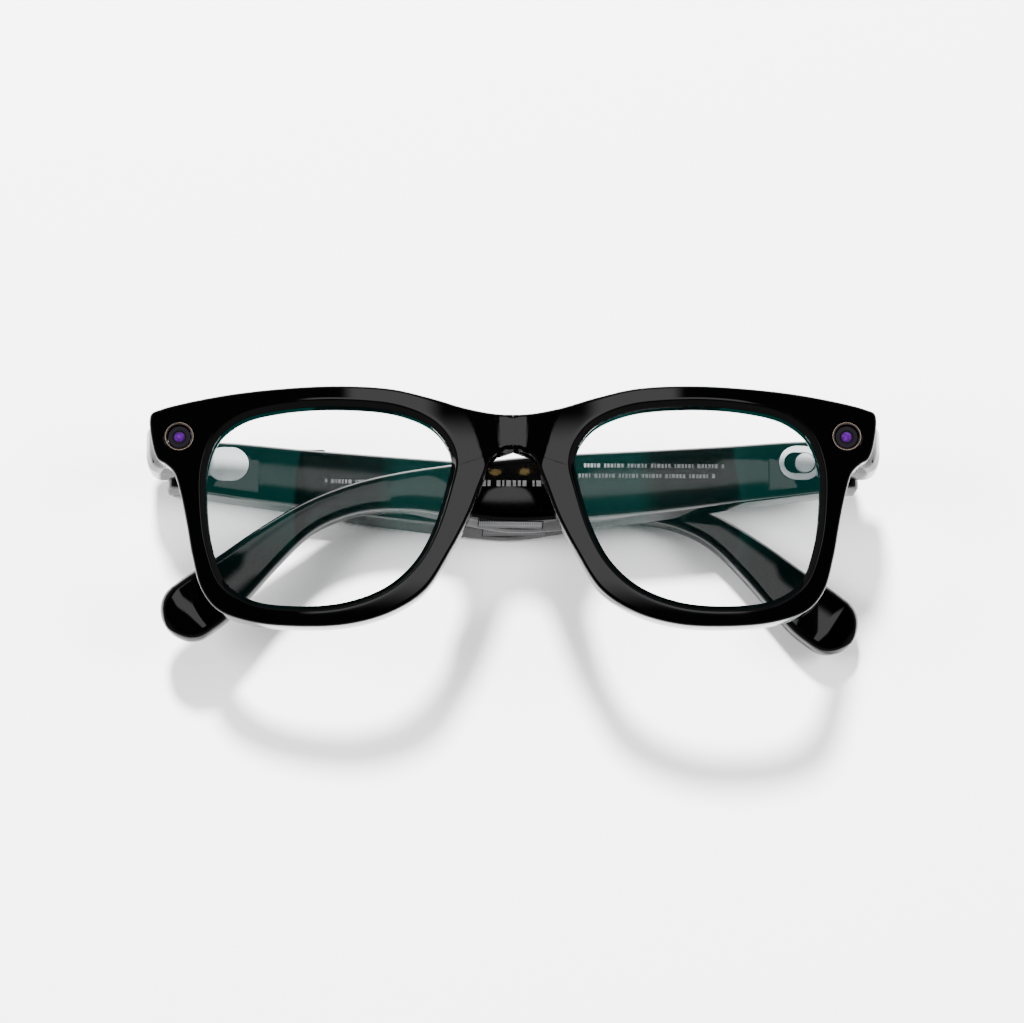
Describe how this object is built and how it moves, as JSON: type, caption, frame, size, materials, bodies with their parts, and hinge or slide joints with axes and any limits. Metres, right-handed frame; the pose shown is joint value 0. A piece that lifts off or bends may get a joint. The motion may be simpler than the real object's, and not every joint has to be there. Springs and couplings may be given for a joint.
{
  "type": "smart glasses",
  "caption": "Smart glasses with keyhole bridge, clear coated lenses, corner camera and capture light, folding electronics temples, a capture button and a power switch.",
  "frame": {"origin": "middle of the folded glasses' footprint, on the surface they lie on", "axes": "+X towards the wearer's left end of the front, +Y towards the brow, +Z out of the front and away from the surface"},
  "size_m": [0.1466, 0.0486, 0.0343],
  "materials": {
    "gloss_black": "polished",
    "satin_black": "satin",
    "matt_black": "matt",
    "coated_lens": "polished, anti-reflection coated",
    "steel": "brushed",
    "bronze": "satin",
    "dark_glass": "polished",
    "module": "matt",
    "clear_guide": "frosted",
    "board": "solder mask",
    "gold": "plated",
    "brass": "plated",
    "mesh": "black mesh",
    "pale_inlay": "satin",
    "foil": "foil",
    "amber": "film"
  },
  "bodies": {
    "front": {"frame_front": "gloss_black", "lens_left": "coated_lens", "lens_right": "coated_lens", "corner_cover_left": "matt_black", "corner_cover_right": "matt_black", "hinge_tongue_left": "steel", "hinge_tongue_right": "steel", "camera_ring": "bronze", "camera_window": "dark_glass", "camera_module": "module", "light_ring": "bronze", "light_window": "dark_glass", "light_guide": "clear_guide", "light_board": "board", "charge_contact_left": "gold", "charge_contact_right": "gold", "nose_microphone": "brass"},
    "temple_right": {"temple_right_shell": "gloss_black", "temple_right_cover": "satin_black", "hinge_fork_right": "steel", "hinge_pin_right": "steel", "speaker_grille_right": "mesh", "speaker_right": "module", "microphone_right": "brass", "pill_inlay_right": "pale_inlay", "button_switch": "steel", "main_board": "board", "processor_shield": "steel", "touch_film": "amber"},
    "button": {"capture_button": "gloss_black"},
    "temple_left": {"temple_left_shell": "gloss_black", "temple_left_cover": "satin_black", "hinge_fork_left": "steel", "hinge_pin_left": "steel", "speaker_grille_left": "mesh", "speaker_left": "module", "microphone_left": "brass", "switch_plate": "pale_inlay", "battery_cell": "foil", "battery_board": "board"},
    "switch": {"power_switch": "pale_inlay"}
  },
  "joints": [
    {"name": "temple_right_fold", "type": "hinge", "parent": "front", "child": "temple_right", "pos_m": [-0.06654, 0.01305, 0.0063], "axis": [0, 1, 0], "range_deg": [0, 87.5]},
    {"name": "capture_button_press", "type": "slide", "parent": "temple_right", "child": "button", "axis": [0, -1, 0], "range_m": [0, 0.0005], "stiffness_N_per_m": 800},
    {"name": "temple_left_fold", "type": "hinge", "parent": "front", "child": "temple_left", "pos_m": [0.06722, 0.01305, 0.01436], "axis": [0, -1, 0], "range_deg": [-0.6, 0.2]},
    {"name": "power_switch_slide", "type": "slide", "parent": "temple_left", "child": "switch", "axis": [-1, 0, 0], "range_m": [0, 0.0019]}
  ]
}
